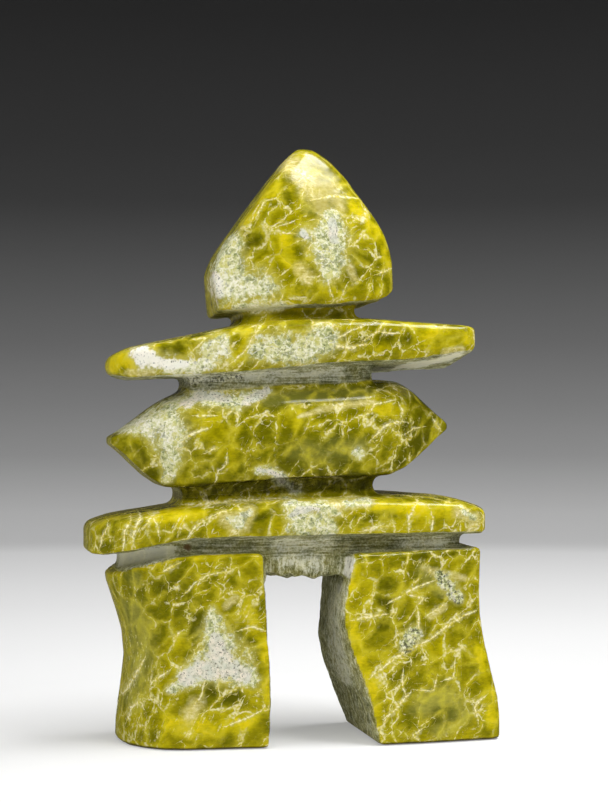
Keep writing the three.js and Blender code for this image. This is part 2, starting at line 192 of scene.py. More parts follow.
GREY = {
    # Partly greyer stone, partly a painted reflection on the head's upper facet
    "head_facet": ((324, 182, 10), (334, 200, 14), (308, 210, 9)),
    "body_middle": ((296, 452, 14), (330, 452, 18), (360, 446, 14)),
    # Painted shade and a dark painted reflection on the body's top slope under the arms' slab
    "body_band_shade": ((270, 400, 12), (330, 392, 8), (370, 392, 6)),
    "shoulder": ((150, 424, 20), (170, 450, 14)),
    # A painted reflection: the grey sheen on the left side of the left leg
    "leg_left_side": ((132, 610, 18), (142, 650, 24), (134, 700, 14)),
    "leg_left_spot": ((134, 578, 9), (137, 582, 9)),
    "leg_right_low": ((420, 706, 16), (446, 700, 26), (462, 714, 16), (440, 730, 14)),
    "leg_right_top": ((440, 592, 9), (424, 572, 10)),
}
DARK = {
    "head_left": ((248, 232, 7), (254, 246, 9)),
    "head_ridge": ((284, 190, 5), (290, 208, 5)),
    "head_right": ((362, 254, 12), (374, 270, 14)),
    "head_foot": ((290, 291, 7), (330, 290, 8), (362, 290, 7)),
    "arm_left": ((166, 350, 8), (186, 344, 7), (200, 338, 5)),
    "arm_right": ((348, 338, 6), (384, 338, 6), (406, 342, 8)),
    "arm_end": ((440, 342, 7), (458, 340, 7)),
    "shoulder_spot": ((136, 450, 8), (152, 472, 6)),
    # Painted shade and a dark painted reflection on the body's top slope under the arms' slab
    "body_top_shade": ((300, 402, 6), (380, 388, 6)),
    # Painted shade on the undercut foot of the body
    "body_foot_shade": ((300, 476, 6), (360, 478, 7), (398, 464, 5)),
    "body_right": ((412, 448, 8), (424, 440, 8)),
    "body_left": ((188, 424, 5), (182, 446, 6)),
    "hips": ((256, 518, 4), (272, 512, 5)),
    "hips_right": ((344, 524, 6), (366, 518, 7), (392, 514, 6)),
    "leg_left": ((172, 586, 12), (190, 608, 18), (198, 626, 11), (187, 650, 8)),
    "leg_left_right": ((246, 644, 9), (256, 656, 9), (262, 674, 7)),
    "leg_left_foot": ((206, 686, 7), (240, 700, 10)),
    "leg_right": ((384, 586, 11), (386, 604, 8), (382, 622, 8)),
    # Painted shadow: the hips' slab shades the top of the right leg
    "leg_right_rim_shadow": ((364, 554, 7), (420, 551, 7), (474, 551, 6)),
    "leg_right_middle": ((410, 664, 8), (420, 656, 8)),
    "leg_right_low": ((436, 716, 8), (446, 712, 8)),
}
# Where the rough stone is pale with dust
DUST = {
    # Partly pale dusty stone, partly painted light from below on the arms' underside
    "arm_underside_lit": ((402, 366, 6), (424, 364, 9), (452, 357, 9)),
    "arm_groove": ((190, 379, 7), (260, 376, 7), (340, 373, 7)),
    "hips_groove_left": ((124, 560, 8), (140, 556, 10), (172, 550, 6)),
    "hips_groove_middle": ((276, 545, 6), (330, 543, 6)),
    "hips_groove_right": ((404, 543, 5), (446, 541, 5)),
    "bridge": ((282, 560, 8), (316, 562, 9)),
    "leg_inner_face": ((338, 590, 12), (335, 640, 12), (346, 680, 6)),
}
# Where the pale and the rough stone are lighter, some of it painted light where marked
LIGHT = {
    "arm": ((112, 364, 12), (140, 354, 14), (160, 362, 12), (190, 366, 12), (214, 352, 16)),
    "shoulder": ((128, 427, 9), (148, 424, 15), (166, 432, 13)),
    # Painted light from below on the arms' underside
    "arm_underside_lit": ((402, 366, 6), (424, 364, 9), (452, 357, 9)),
    # Painted light: the left end of the lowest groove, lit from the left
    "hips_groove_left": ((124, 560, 8), (140, 556, 9), (170, 550, 6)),
    # Painted light on the neck, which lies in the shade of the head
    "neck": ((230, 309, 7), (262, 307, 8), (292, 306, 5)),
    "head_left": ((222, 284, 14), (250, 288, 8)),
}
# Where dark grit lies between the grains
GRIT = {
    "pit": ((406, 648, 8), (414, 634, 8)),
    "gash": ((440, 574, 6), (450, 588, 8), (458, 600, 6)),
    "arm_groove": ((188, 381, 6), (214, 378, 7), (240, 377, 5)),
}
# A rust spot in the lowest groove
RUST = {"hips_groove": ((186, 547, 4), (188, 548, 4))}
# Where the stone is drawn out into fine pale strands
STRANDS = {
    "leg_left_side": ((134, 640, 16), (140, 690, 22), (150, 728, 20)),
    "leg_left_foot": ((170, 722, 14), (214, 730, 12)),
    "leg_left_top": ((130, 596, 10), (164, 584, 10)),
    "leg_left_right": ((252, 596, 9), (234, 606, 11), (252, 620, 8)),
    "leg_right_top": ((420, 566, 9), (444, 578, 9), (468, 580, 7)),
    "leg_right_middle": ((426, 636, 8), (432, 616, 9), (448, 606, 8)),
    "hips_left": ((112, 535, 10), (150, 528, 14), (190, 525, 12)),
    "arm_right": ((360, 335, 8), (404, 335, 8)),
    "body_right": ((384, 425, 12), (420, 426, 12)),
    "head_left": ((262, 206, 10), (250, 222, 8)),
}

# Every kind of patch, by the name that it is stored under
PATCHES = {
    "pale": PALE, "white": WHITE, "cream": CREAM, "yellow": YELLOW, "grey": GREY, "dark": DARK,
    "strands": STRANDS, "dust": DUST, "grit": GRIT, "light": LIGHT, "rust": RUST,
}

# Veins, each with its half width in millimetres and the pixels that it passes through
VEINS = {
    "head_ridge": (0.35, (312, 200), (330, 196), (356, 198)),
    "head_hook": (0.7, (351, 217), (363, 221), (365, 210)),
    "head_pair_upper": (0.3, (272, 229), (294, 221)),
    "head_pair_lower": (0.3, (279, 233), (295, 233)),
    "head_edge": (0.3, (256, 217), (265, 201), (276, 198)),
    "head_right": (0.4, (378, 274), (390, 269)),
    "head_foot_left": (0.3, (328, 284), (333, 299)),
    "head_foot_right": (0.3, (348, 283), (340, 299)),
    "arm_thick": (0.8, (336, 346), (350, 348), (366, 344)),
    "arm_upper": (0.45, (339, 337), (353, 330), (364, 326)),
    "arm_fork": (0.4, (364, 340), (377, 331), (388, 333), (398, 333)),
    "arm_wedge": (0.4, (228, 366), (246, 350), (256, 330)),
    "body_left": (0.55, (177, 448), (184, 438), (196, 433), (207, 428)),
    "body_dash": (0.5, (208, 452), (217, 448)),
    "body_fall": (0.3, (216, 481), (218, 471), (226, 465), (227, 455)),
    "body_high": (0.45, (197, 416), (213, 415)),
    "body_hook": (0.35, (358, 416), (370, 413), (374, 404), (394, 400)),
    "body_arc": (0.55, (373, 439), (382, 428), (396, 422), (407, 422)),
    "body_short": (0.35, (399, 404), (402, 410), (401, 416)),
    "body_right": (0.35, (404, 434), (413, 429), (422, 427)),
    "body_tip": (0.7, (434, 420), (439, 428)),
    # A painted highlight: the gleam along the front top rim of the hips' slab
    "hips_rim_highlight": (0.45, (186, 505), (230, 501), (290, 498)),
    "hips_one": (0.4, (100, 547), (103, 536), (108, 525)),
    "hips_two": (0.45, (123, 550), (125, 531), (131, 518)),
    "hips_three": (0.6, (132, 545), (135, 528), (140, 515)),
    "hips_four": (0.4, (143, 529), (152, 516), (158, 512)),
    "hips_five": (0.35, (152, 517), (157, 525), (159, 536)),
    "hips_six": (0.4, (188, 537), (198, 524), (218, 513)),
    "hips_seven": (0.8, (363, 531), (376, 527), (390, 526)),
    "hips_eight": (0.6, (409, 530), (409, 516), (414, 508)),
    "hips_nine": (0.4, (431, 531), (433, 519), (431, 511)),
    "leg_oval": (0.3, (184, 595), (193, 584), (208, 575), (230, 571)),
    "leg_top": (0.6, (165, 571), (180, 563)),
    "leg_cell": (0.4, (174, 643), (175, 636), (182, 632)),
    "leg_long": (0.45, (122, 694), (134, 678), (144, 658)),
    "leg_tail": (0.5, (151, 686), (153, 681), (168, 671)),
    "leg_arch": (0.4, (127, 721), (132, 707), (140, 701), (144, 709)),
    "leg_low": (0.4, (229, 725), (250, 717), (260, 711)),
    "leg_edge": (0.45, (240, 630), (254, 627), (265, 631)),
    "diagonal_low": (0.75, (372, 676), (392, 661), (406, 651), (428, 641)),
    "diagonal_high": (0.65, (426, 642), (442, 630), (456, 620), (474, 611)),
    "shelf": (0.65, (356, 620), (369, 617), (383, 614)),
    "ladder": (0.45, (388, 603), (403, 595), (414, 588), (431, 582)),
    "diamond": (0.4, (409, 595), (424, 598), (417, 606)),
    "stem": (0.4, (417, 606), (419, 617), (419, 640)),
    "brace": (0.5, (428, 615), (444, 604)),
    "fall": (0.35, (403, 671), (402, 685), (405, 695)),
    "blotch": (0.7, (388, 716), (396, 709), (408, 695)),
    "post": (0.35, (455, 661), (454, 677), (444, 680)),
    "step": (0.3, (417, 690), (433, 691), (437, 679)),
    "edge": (0.4, (484, 697), (475, 706), (478, 721)),
    "foot": (0.45, (420, 742), (413, 735), (424, 728)),
}


def camera_axes():
    """The camera's right, up and forward directions."""
    forward = Vector((math.sin(HEADING), math.cos(HEADING), 0))
    return Vector((forward.y, -forward.x, 0)), Vector((0, 0, 1)), forward


def pixel_ray(px, py):
    """The direction from the eye through a pixel of the photograph's frame."""
    right, up, forward = camera_axes()
    across, down = px - FRAME_WIDTH / 2, py - FRAME_HEIGHT / 2
    return (forward + right * (across / FOCAL_PIXELS) - up * (down / FOCAL_PIXELS)).normalized()


def make_camera():
    """The scene's camera, at the photograph's viewing angle."""
    forward = camera_axes()[2]
    data = bpy.data.cameras.new("camera")
    data.lens = FOCAL_PIXELS / FRAME_HEIGHT * SENSOR
    data.sensor_width = SENSOR
    data.clip_start, data.clip_end = 0.05, 20
    camera = bpy.data.objects.new("camera", data)
    camera.location = EYE
    camera.rotation_euler = forward.to_track_quat("-Z", "Y").to_euler()
    bpy.context.scene.collection.objects.link(camera)
    bpy.context.scene.camera = camera


# Numbers


def ease(values, low, high):
    """0 up to low, 1 from high on and smooth in between. low may be the larger."""
    t = np.clip((values - low) / (high - low), 0, 1)
    return t * t * (3 - 2 * t)


def within(values, low, high):
    """1 where the values lie between low and high, 0 elsewhere."""
    return ((values > low) & (values < high)) * 1.0


def lumps(points, size, octaves, seed=0):
    """Smooth noise from about -1 to 1 whose largest lumps are about the given size."""
    shift = Vector((seed * 17.3, seed * 5.1, seed * 9.7))
    return np.array([noise.fractal(Vector(p) / size + shift, 0.9, 2.0, octaves) for p in points])


# The fine mesh of the carving


def vectors(collection, field):
    """A field of three numbers of every element of a mesh collection, as an array."""
    values = np.empty(len(collection) * 3, np.float32)
    collection.foreach_get(field, values)
    return values.reshape(-1, 3).astype(float)


def points_of(mesh):
    return vectors(mesh.vertices, "co")


def normals_of(mesh):
    return vectors(mesh.vertex_normals, "vector")


def set_points(mesh, points):
    mesh.vertices.foreach_set("co", points.astype(np.float32).ravel())
    mesh.update()


def store(mesh, name, values):
    """Keeps one number at every vertex, for the material to read."""
    mesh.attributes.new(name, "FLOAT", "POINT").data.foreach_set("value", values.astype(np.float32))


def fine_copy(node):
    """The node's solid as a new object with an even, fine mesh."""
    carving = bpy.data.objects.new("carved_stone", node.data.copy())
    carving.data.materials.clear()
    bpy.context.scene.collection.objects.link(carving)
    remesh = carving.modifiers.new("remesh", "REMESH")
    remesh.mode = "VOXEL"
    remesh.voxel_size = VOXEL
    evaluated = carving.evaluated_get(bpy.context.evaluated_depsgraph_get())
    carving.data = bpy.data.meshes.new_from_object(evaluated)
    carving.modifiers.clear()
    carving.data.name = "carved_stone"
    return carving


def neighbours(mesh):
    """Both ends of every edge, and how many edges meet at each vertex."""
    edges = np.empty(len(mesh.edges) * 2, np.int32)
    mesh.edges.foreach_get("vertices", edges)
    edges = edges.reshape(-1, 2)
    return edges, np.bincount(edges.ravel(), minlength=len(mesh.vertices))


def spread(values, edges, count):
    """The mean of each vertex's neighbours."""
    size = len(count)
    if values.ndim == 1:
        total = np.bincount(edges[:, 0], values[edges[:, 1]], size)
        return (total + np.bincount(edges[:, 1], values[edges[:, 0]], size)) / count
    return np.stack([spread(column, edges, count) for column in values.T], 1)


def sharpness(mesh, edges, count):
    """How much the surface turns at each vertex and close around it."""
    normals = normals_of(mesh)
    turn = 1 - (normals[edges[:, 0]] * normals[edges[:, 1]]).sum(1)
    sharp = np.zeros(len(count))
    np.maximum.at(sharp, edges[:, 0], turn)
    np.maximum.at(sharp, edges[:, 1], turn)
    for _ in range(3):
        sharp = np.maximum(sharp, 0.9 * spread(sharp, edges, count))
    return sharp


def smooth_facets(mesh):
    """Melts the solid's flat facets into each other and keeps its crisp edges."""
    points = points_of(mesh)
    edges, count = neighbours(mesh)
    soft = (1 / (1 + (sharpness(mesh, edges, count) / SHARP) ** 2))[:, None]
    for _ in range(SMOOTHING_ROUNDS):
        for step in SMOOTHING_STEPS:
            points += step * soft * (spread(points, edges, count) - points)
    set_points(mesh, points)


def blunt(mesh):
    """Rounds off the shoulders of the body, the top of the head and the left tip of the arms, where long
    polishing wore the edges down."""
    points = points_of(mesh)
    edges, count = neighbours(mesh)
    x, _, z = points.T
    shoulders = ease(z, *WORN_SHOULDER_FOOT) * ease(z, *WORN_SHOULDER_TOP)
    head = HEAD_WEAR * ease(z, *WORN_HEAD)
    arm_tip = ease(x, *WORN_TIP) * ease(z, *WORN_TIP_FOOT) * ease(z, *WORN_TIP_TOP)
    worn = (shoulders + head + arm_tip)[:, None]
    for _ in range(WEAR_ROUNDS):
        points += 0.5 * worn * (spread(points, edges, count) - points)
    set_points(mesh, points)


def tree_of(mesh):
    """The mesh as a tree that rays are cast at."""
    points = [v.co for v in mesh.vertices]
    return BVHTree.FromPolygons(points, [list(p.vertices) for p in mesh.polygons])


# Where things are on the stone


def on_stone(tree, px, py):
    """The place on the stone that shows at a pixel of the photograph's frame."""
    place, _, _, _ = tree.ray_cast(EYE, pixel_ray(px, py))
    if place is None:
        raise ValueError(f"nothing of the stone shows at pixel {px}, {py}")
    return np.array(place)


def chain(points, route, values):
    """The distance in the front plane from each point to a route over the stone, the route's depth and value
    there, and which side of the route the point is on, as a positive or negative number."""
    best = np.full(len(points), np.inf)
    depth, value, side = np.zeros((3, len(points)))
    for a, b, low, high in zip(route, route[1:], values, values[1:]):
        (dx, dy, dz), (x, y, z) = b - a, (points - a).T
        share = np.clip((x * dx + z * dz) / (dx * dx + dz * dz), 0, 1)
        distance = np.hypot(x - share * dx, z - share * dz)
        here = distance < best
        best[here] = distance[here]
        depth[here] = np.abs(y - share * dy)[here]
        value[here] = (low + share * (high - low))[here]
        side[here] = (x * dz - z * dx)[here]
    return best, depth, value, side


def patch_field(points, tree, patches):
    """How far inside the nearest patch each point is: 1 at its heart, 0 at its edge, negative outside."""
    field = np.full(len(points), -1.0)
    for pixels in patches.values():
        route = [on_stone(tree, px, py) for px, py, _ in pixels]
        distance, depth, half, _ = chain(points, route, [half * PIXEL for _, _, half in pixels])
        field = np.maximum(field, 1 - np.hypot(distance / half, depth / PATCH_RUN))
    return field


def clearance(samples, veins):
    """How far a vein's samples stay from the nearest of the other veins."""
    return min((np.linalg.norm(samples[:, None] - other, axis=2).min() for other in veins), default=1)


def vein_fields(points, tree):
    """Each group of veins as two fields: how far to one side of the nearest vein a point lies, and the vein's
    half width there, both in millimetres. Veins that come close to each other go to different groups."""
    groups = range(VEIN_GROUPS)
    nearest = [np.full(len(points), VEIN_REACH) for _ in groups]
    side = [np.full(len(points), VEIN_REACH / MM) for _ in groups]
    width = [np.zeros(len(points)) for _ in groups]
    taken = [[] for _ in groups]
    for half, *pixels in VEINS.values():
        route = np.array([on_stone(tree, px, py) for px, py in pixels])
        samples = np.concatenate([np.linspace(a, b, 9) for a, b in zip(route, route[1:])])
        group = int(np.argmax([clearance(samples, veins) for veins in taken]))
        taken[group].append(samples)
        lengths = np.linalg.norm(np.diff(route, axis=0), axis=1)
        passed = np.concatenate([[0], np.cumsum(lengths)]) / lengths.sum()
        distance, depth, along, turned = chain(points, route, passed)
        here = distance < nearest[group]
        taper = 0.35 + 0.65 * np.sqrt(np.sin(np.pi * np.clip(along, 0.02, 0.98)))
        fade = (1 - ease(distance, 0.5 * VEIN_REACH, 0.95 * VEIN_REACH)) * (1 - ease(depth, *VEIN_RUN))
        nearest[group][here] = distance[here]
        side[group][here] = np.copysign(distance, turned)[here] / MM
        width[group][here] = (half * taper * fade)[here]
    return list(zip(side, width))


def enclosure(points, normals, tree):
    """How near stone lies both above and below each point: 1 in the narrow of a groove, 0 in the open."""
    gaps = []
    for point, normal in zip(points, normals):
        start = Vector(point + normal * 0.6 * MM)
        up = tree.ray_cast(start, Vector((0, 0, 1)), SIGHT)[3]
        down = tree.ray_cast(start, Vector((0, 0, -1)), SIGHT)[3]
        gaps.append(SIGHT if up is None or down is None else up + down)
    return 1 - ease(np.array(gaps), *GROOVE_GAP)


def rim_light_field(mesh):
    """How thin and sharp the stone is at each vertex: about 1 on a crisp outer edge, 0 on the flat."""
    edges, count = neighbours(mesh)
    points = points_of(mesh)
    bulge = ((points - spread(points, edges, count)) * normals_of(mesh)).sum(1)
    for _ in range(2):
        bulge = 0.5 * bulge + 0.5 * spread(bulge, edges, count)
    return ease(bulge, 0.02 * MM, 0.12 * MM)


def in_grooves(points, normals, tree):
    """How far inside a groove each point is, apart from the polished rims and upper faces of the slabs."""
    x, y, z = points.T
    nz = normals[:, 2]
    rim = np.maximum(ease(np.abs(y), *RIM_DEPTH), ease(np.abs(x), *RIM_WIDTH))
    closed = enclosure(points, normals, tree) * (1 - rim * (1 - ease(-nz, 0.8, 0.92)))
    return closed * (1 - ease(nz, 0.2, 0.45) * (z > POLISHED_TOPS))


def on_bridge(points):
    """1 on the rough bridge between the tops of the legs, 0 elsewhere."""
    x, y, z = points.T
    return within(x, *BRIDGE_WIDTH) * within(z, *BRIDGE_HEIGHT) * (y > BRIDGE_FRONT)


def finishes_and_recess_shade(points, normals, closed):
    """How raw each point is left by the saw and the rasp, from 0 where polished to 1, and how dark the
    grooves
    and the neck are painted: painted shade, for the shade that falls in them."""
    x, _, z = points.T
    nx, _, nz = normals.T
    heights = [z < top for top in GROOVE_TOPS]
    groove = closed * np.select(heights, GROOVE_RAWNESS, NECK_RAWNESS)
    # Painted shade in the grooves and the neck
    recess_shade = closed * np.select(heights, GROOVE_SHADE, NECK_SHADE)
    inner = np.where(x < 0, ease(nx, 0.75, 0.95), ease(-nx, 0.4, 0.8))
    leg_faces = within(x, *LEG_GAP) * (z < LEG_GAP_TOP) * inner
    under = ease(-nz, 0.8, 0.92) * sum(within(z, *band) for band in UNDERSIDES)
    sole = ease(-nz, 0.6, 0.9) * (z < SOLES)
    return np.maximum.reduce([groove, leg_faces, on_bridge(points), under, sole]), recess_shade


def relief(points, raw):
    """The height of the marks of hand tools: soft waves of polish, chisel marks on raw stone, and the broken
    lower edge of the bridge. The soles stay flat."""
    z = points[:, 2]
    polish = POLISH_WAVES * lumps(points, 16 * MM, 2) + POLISH_RIPPLES * lumps(points, 6 * MM, 2, seed=1)
    chisel = CHISEL_MARKS * lumps(points, 6 * MM, 4, seed=2)
    broken = BROKEN_EDGE * on_bridge(points) * ease(z, *BRIDGE_FOOT) * lumps(points, 8 * MM, 4, seed=3)
    return ((1 - raw) * polish + raw * chisel + broken) * ease(z, 0.0, 3 * MM)


def work_surface(mesh, tree):
    """Stores where each finish lies on the smoothed mesh and works the marks of the tools into it."""
    points, normals = points_of(mesh), normals_of(mesh)
    raw, recess_shade = finishes_and_recess_shade(points, normals, in_grooves(points, normals, tree))
    for name, patches in PATCHES.items():
        store(mesh, name, patch_field(points, tree, patches))
    for index, (side, half) in enumerate(vein_fields(points, tree)):
        store(mesh, f"vein_{index}_side", side)
        store(mesh, f"vein_{index}_half", half)
    store(mesh, "raw", raw)
    # Painted shade of the grooves and the neck, for the material to read
    store(mesh, "recess_shade", recess_shade)
    # Painted rim light: the material lightens and yellows the stone on thin outer edges
    store(mesh, "edge", rim_light_field(mesh))
    set_points(mesh, points + normals * relief(points, raw)[:, None])


# The stone's material


def colour(*levels):
    """A colour or a grey as seen on a screen, 0 to 255, in the linear light that the shaders work in."""
    shares = [level / 255 for level in (levels * 3)[:3]]
    return tuple(s / 12.92 if s <= 0.04045 else ((s + 0.055) / 1.055) ** 2.4 for s in shares) + (1.0,)


class Nodes:
    """Adds shader nodes to a material or a world. An input is a number, a colour or another node's output."""

    def __init__(self, owner):
        self.owner = owner
        owner.use_nodes = True
        self.tree = owner.node_tree
        self.tree.nodes.clear()

    def add(self, kind, inputs=(), **settings):
        made = self.tree.nodes.new("ShaderNode" + kind)
        for key, value in settings.items():
            setattr(made, key, value)
        for key, value in dict(inputs).items():
            self.put(made.inputs[key], value)
        return made

    def put(self, socket, value):
        if isinstance(value, bpy.types.NodeSocket):
            self.tree.links.new(value, socket)
        else:
            socket.default_value = value

    def math(self, operation, a, b=0.0, c=0.0):
        return self.add("Math", {0: a, 1: b, 2: c}, operation=operation).outputs[0]

    def times(self, a, b):
        return self.math("MULTIPLY", a, b)

    def vector(self, operation, a, b=(0, 0, 0)):
        return self.add("VectorMath", {0: a, 1: b}, operation=operation).outputs[0]

    def scaled(self, a, scale):
        return self.add("VectorMath", {0: a, "Scale": scale}, operation="SCALE").outputs[0]

    def ease(self, value, low, high, to_low=0.0, to_high=1.0):
        """to_low up to low, to_high from high on and smooth in between. low may be the larger."""
        inputs = {"Value": value, "From Min": low, "From Max": high, "To Min": to_low, "To Max": to_high}
        return self.add("MapRange", inputs, interpolation_type="SMOOTHSTEP").outputs[0]

    def noise(self, where, size, detail=3.0, roughness=0.5, output="Fac"):
        """Noise from 0 to 1 whose largest lumps are about the given size."""
        inputs = {"Vector": where, "Scale": 1 / size, "Detail": detail, "Roughness": roughness}
        return self.add("TexNoise", inputs).outputs[output]

    def cells(self, where, size, output="Distance", feature="F1"):
        inputs = {"Vector": where, "Scale": 1 / size}
        return self.add("TexVoronoi", inputs, feature=feature).outputs[output]

    def to_border(self, where, size):
        """How far it is to the border between two cells."""
        return self.times(self.cells(where, size, feature="DISTANCE_TO_EDGE"), size)

    def cell_numbers(self, where, size):
        """Three numbers from 0 to 1 that differ from cell to cell."""
        return self.add("SeparateColor", {"Color": self.cells(where, size, "Color")}).outputs

    def centred(self, value, times):
        """A value from 0 to 1, moved to lie around 0 and made larger."""
        return self.times(self.math("SUBTRACT", value, 0.5), times)

    def shift(self, where, size, amount):
        """A crumpling shift of the place, of about the amount, in folds of the size."""
        fold = self.noise(where, size, 3, output="Color")
        return self.scaled(self.vector("SUBTRACT", fold, (0.5, 0.5, 0.5)), amount)

    def drawn_out(self, where, lean, times):
        """The place, for a texture drawn out along a line that leans right of upright, in degrees."""
        inputs = {"Vector": where, "Rotation": (0, math.radians(lean), 0), "Scale": (1, 1, times)}
        return self.add("Mapping", inputs, vector_type="TEXTURE").outputs[0]

    def line(self, distance, half):
        """1 on a line of the given half width, 0 beside it, and 0 where the line has no width."""
        return self.ease(self.math("DIVIDE", distance, self.math("MAXIMUM", half, 0.004)), 1.6, 0.4)

    def field(self, name):
        """A number that is stored at every vertex."""
        return self.add("Attribute", attribute_name=name).outputs["Fac"]

    def mix(self, share, a, b):
        """The share of colour b over colour a."""
        made = self.add("Mix", data_type="RGBA")
        for socket, value in zip((made.inputs[0], made.inputs[6], made.inputs[7]), (share, a, b)):
            self.put(socket, value)
        return made.outputs[2]

    def ramp(self, value, stops):
        """A colour looked up between stops, each the value it stands at and its colour."""
        made = self.add("ValToRGB", {"Fac": value})
        elements = made.color_ramp.elements
        while len(elements) < len(stops):
            elements.new(0.5)
        for element, (place, shade) in zip(elements, stops):
            element.position = place
            element.color = shade
        return made.outputs["Color"]


class Stone(Nodes):
    """The serpentine's material. Its places and sizes are in millimetres."""

    CELL, SMALL_CELL = 7.5, 3.6  # of the web of veins
    PALE_GRAIN = 0.9
    FRONT, BACK = -18, 4  # the web is full in front of the first depth and calm behind the second
    BODY_FOOT = (98, 104)
    BODY_TOP = (151, 147)
    GROOVE_FOOT = (75, 77.5)  # above this the saw's scores run along, below it down the legs' inner faces
    # Painted shade around the soles, from the height where it starts to where it is full
    SOLE_SHADE_HEIGHTS = (1.7, 0.7)

    OLIVE = [
        (0.05, colour(84, 83, 2)),
        (0.3, colour(112, 109, 2)),
        (0.5, colour(144, 136, 3)),
        (0.7, colour(177, 165, 3)),
        (0.95, colour(218, 198, 10)),
    ]
    GREY_OLIVE = [(0.2, colour(106, 106, 36)), (0.8, colour(172, 168, 78))]
    CELL_RIM = colour(202, 190, 46)
    MILKY = colour(196, 188, 98)
    CLOUD = [(0.36, colour(168, 154, 62)), (0.5, colour(208, 195, 122)), (0.62, colour(236, 228, 182))]
    GREY_CLOUD = colour(180, 167, 88)
    VEIN_EDGE, VEIN_HEART = colour(206, 191, 66), colour(246, 238, 192)
    CRYSTALS = [
        (0.4, colour(98, 108, 68)),
        (0.5, colour(158, 164, 104)),
        (0.58, colour(198, 199, 142)),
        (0.66, colour(224, 222, 180)),
        (0.78, colour(246, 243, 226)),
    ]
    YELLOW_CRYSTALS, SHADED_CRYSTALS = colour(194, 190, 78), colour(132, 138, 98)
    CRYSTAL_RIDGE = colour(240, 238, 222)
    GREEN_CHALK, PINK_CHALK = colour(210, 212, 194), colour(236, 226, 208)
    GREY_CHALK, LIGHT_CHALK = colour(168, 168, 140), colour(246, 243, 228)
    SPECK = colour(74, 80, 58)
    DUSTY = [
        (0.44, colour(48, 50, 34)),
        (0.54, colour(104, 107, 82)),
        (0.64, colour(160, 161, 134)),
        (0.76, colour(222, 222, 206)),
    ]
    CHALK_DUST = colour(216, 214, 200)
    # Painted shade in the grooves and the neck
    RECESS_SHADE_COLOUR = colour(38, 36, 2)
    DARK_GRIT = colour(58, 58, 32)
    RUSTY = colour(92, 58, 26)
    # Painted shade around the soles
    SOLE_SHADE = colour(60, 52, 8)

    def __init__(self):
        super().__init__(bpy.data.materials.new("serpentine"))
        self.here = self.scaled(self.add("TexCoord").outputs["Object"], 1 / MM)
        place = self.add("SeparateXYZ", {"Vector": self.here}).outputs
        self.y, self.z = place["Y"], place["Z"]
        # What frays the edges of the patches
        self.ragged = self.centred(self.noise(self.here, 5.5, 5, 0.68), 2.4)
        # Fine fibres along the slabs, and fine mottling
        self.fibres = self.noise(self.vector("MULTIPLY", self.here, (0.4, 0.6, 1.0)), 1.0, 4, 0.7)
        self.mottle = self.noise(self.here, 2.0, 5, 0.75)
        # Where the web of veins is strong, and how calm it is behind the front
        self.presence = self.noise(self.here, 24, 3)
        drift = self.centred(self.noise(self.here, 14, 3), 36)
        self.behind = self.ease(self.math("ADD", self.y, drift), self.FRONT, self.BACK)
        self.contrast = self.ease(self.behind, 0.0, 1.0, 1.0, 0.3)
        # Lighter stone, and in places painted light where the stone lies in shade
        self.light = self.zone("light", -0.3, 0.7)
        # The place, crumpled and drawn out, for the cells and the web of veins between them
        crumple = self.vector("ADD", self.shift(self.here, 2.2, 0.9), self.shift(self.here, 9, 8))
        self.web = self.drawn_out(self.vector("ADD", self.here, crumple), 42, 1.7)
        self.border = self.to_border(self.web, self.CELL)

    def zone(self, name, low, high, most=1.0):
        """A stored field with a ragged edge, from 0 to the most."""
        return self.ease(self.math("MULTIPLY_ADD", self.ragged, 0.7, self.field(name)), low, high, 0.0, most)

    def web_of_veins(self):
        """A broken web along the borders of the cells, calmer in yellow, grey and hidden stone."""
        wide = self.ease(self.noise(self.here, 6.5, 4, 0.6), 0.4, 0.7, 0.0, 0.6)
        present = self.ease(self.presence, 0.36, 0.5, 0.1, 0.75)
        coarse = self.times(self.line(self.border, wide), present)
        narrow = self.ease(self.noise(self.here, 3.4, 4, 0.62), 0.42, 0.74, 0.0, 0.5)
        small = self.to_border(self.vector("ADD", self.web, (31, 7, 3)), self.SMALL_CELL)
        fine = self.line(small, self.times(narrow, 0.5))
        fine = self.times(fine, self.ease(self.presence, 0.44, 0.6, 0.05, 0.6))
        calm = self.math("ADD", self.zone("yellow", -0.3, 0.6, 0.85), self.zone("grey", -0.2, 0.6, 0.8))
        calm = self.math("MULTIPLY_ADD", self.behind, 0.6, calm)
        return self.times(self.math("MAXIMUM", coarse, fine), self.ease(calm, 1.0, 0.0))

    def veins(self):
        """How much of the cream veins shows: the web, the strands, and the longer veins with their halos."""
        strands = self.ease(self.noise(self.drawn_out(self.here, 28, 6), 1.4, 3, 0.6), 0.57, 0.68)
        strands = self.times(strands, self.zone("strands", -0.1, 0.6, 0.75))
        found = self.math("MAXIMUM", self.web_of_veins(), strands)
        wobble = self.centred(self.noise(self.here, 3.2, 4, 0.65), 1.8)
        swell = self.ease(self.noise(self.here, 1.8, 3), 0.3, 0.7, 0.35, 1.25)
        for index in range(VEIN_GROUPS):
            off = self.math("ABSOLUTE", self.math("ADD", self.field(f"vein_{index}_side"), wobble))
            half = self.times(self.field(f"vein_{index}_half"), swell)
            halo = self.times(self.line(off, self.times(half, 2.6)), 0.35)
            found = self.math("MAXIMUM", found, self.math("MAXIMUM", halo, self.line(off, half)))
        return found

